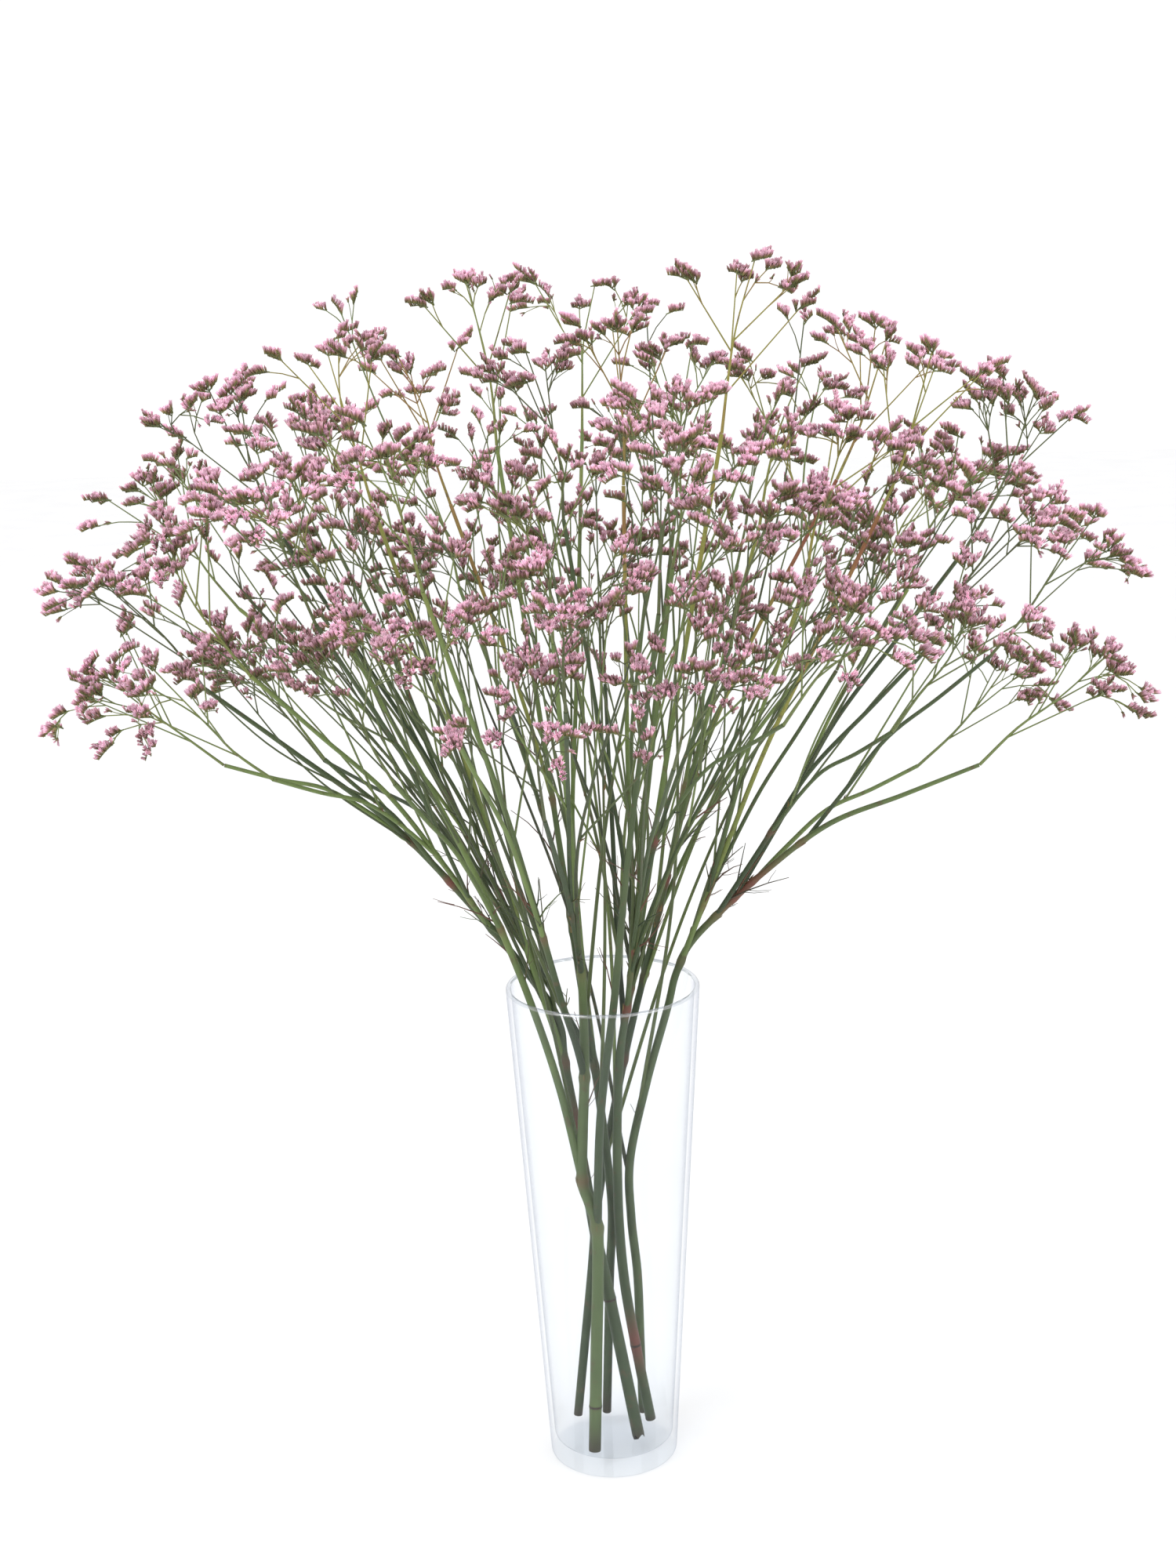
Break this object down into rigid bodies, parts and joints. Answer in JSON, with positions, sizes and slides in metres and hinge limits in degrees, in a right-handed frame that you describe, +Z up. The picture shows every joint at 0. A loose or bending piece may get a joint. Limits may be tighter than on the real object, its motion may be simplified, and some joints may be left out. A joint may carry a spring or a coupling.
{
  "type": "statice in a glass vase",
  "caption": "Bunch of pink-mauve flowering statice stems, wide and open, standing in a clear tapered glass vase with a thick base.",
  "frame": {"origin": "centre of the vase's flat base, on the surface it stands on", "axes": "+Z up along the vase's axis, +X to the right and +Y away from the viewer as the bunch is seen from the front"},
  "size_m": [0.6262, 0.5561, 0.7282],
  "materials": {
    "vase": "clear polished glass",
    "stems": "satin green stalk, ribbed, with brown nodes",
    "sprays": "dry papery pink-mauve florets on thin green branchlets"
  },
  "bodies": {
    "root": {"vase": "vase", "stem_a": "stems", "stem_b": "stems", "stem_c": "stems", "stem_d": "stems", "stem_e": "stems", "stem_f": "stems", "spray_a1": "sprays", "spray_a2": "sprays", "spray_a3": "sprays", "spray_a4": "sprays", "spray_a5": "sprays", "spray_a6": "sprays", "spray_a7": "sprays", "spray_a8": "sprays", "spray_b1": "sprays", "spray_b2": "sprays", "spray_b3": "sprays", "spray_b4": "sprays", "spray_b5": "sprays", "spray_b6": "sprays", "spray_b7": "sprays", "spray_b8": "sprays", "spray_c1": "sprays", "spray_c2": "sprays", "spray_c3": "sprays", "spray_c4": "sprays", "spray_c5": "sprays", "spray_c6": "sprays", "spray_c7": "sprays", "spray_c8": "sprays", "spray_d1": "sprays", "spray_d2": "sprays", "spray_d3": "sprays", "spray_d4": "sprays", "spray_d5": "sprays", "spray_d6": "sprays", "spray_d7": "sprays", "spray_d8": "sprays", "spray_d9": "sprays", "spray_d10": "sprays", "spray_e1": "sprays", "spray_e2": "sprays", "spray_e3": "sprays", "spray_e4": "sprays", "spray_e5": "sprays", "spray_e6": "sprays", "spray_e7": "sprays", "spray_e8": "sprays", "spray_e9": "sprays", "spray_f1": "sprays", "spray_f2": "sprays", "spray_f3": "sprays", "spray_f4": "sprays", "spray_f5": "sprays", "spray_f6": "sprays", "spray_f7": "sprays", "spray_f8": "sprays"}
  },
  "joints": []
}
